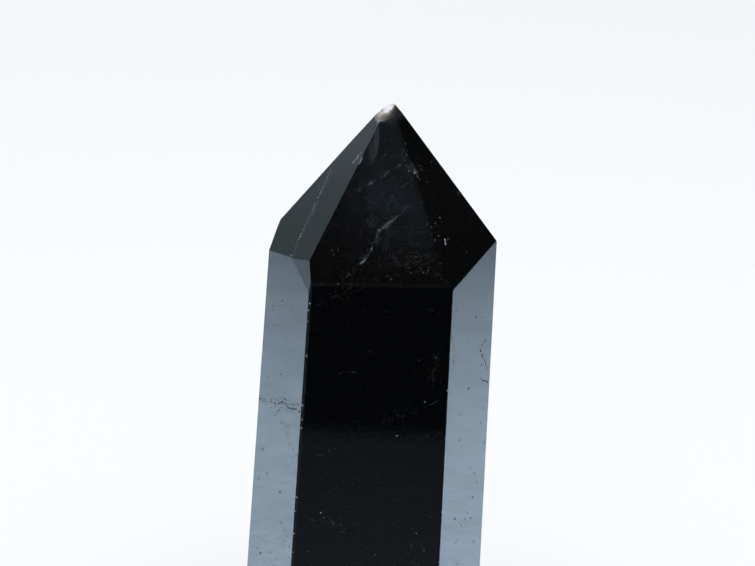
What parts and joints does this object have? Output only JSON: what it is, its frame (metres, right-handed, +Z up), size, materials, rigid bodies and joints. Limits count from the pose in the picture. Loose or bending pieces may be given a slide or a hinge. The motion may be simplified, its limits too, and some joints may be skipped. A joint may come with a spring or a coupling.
{
  "type": "morion quartz point",
  "caption": "Polished tower of near-black smoky quartz with a faceted point, standing on a flat sawn base.",
  "frame": {"origin": "middle of the sawn base that the tower stands on", "axes": "+Z up along the tower to its tip, -Y out of the widest front wall, +X to the right of that wall"},
  "size_m": [0.0286, 0.024, 0.0805],
  "materials": {
    "morion_quartz": "glassy polish, near-black and see-through only where it is thin"
  },
  "bodies": {
    "root": {"quartz_point": "morion_quartz"}
  },
  "joints": []
}
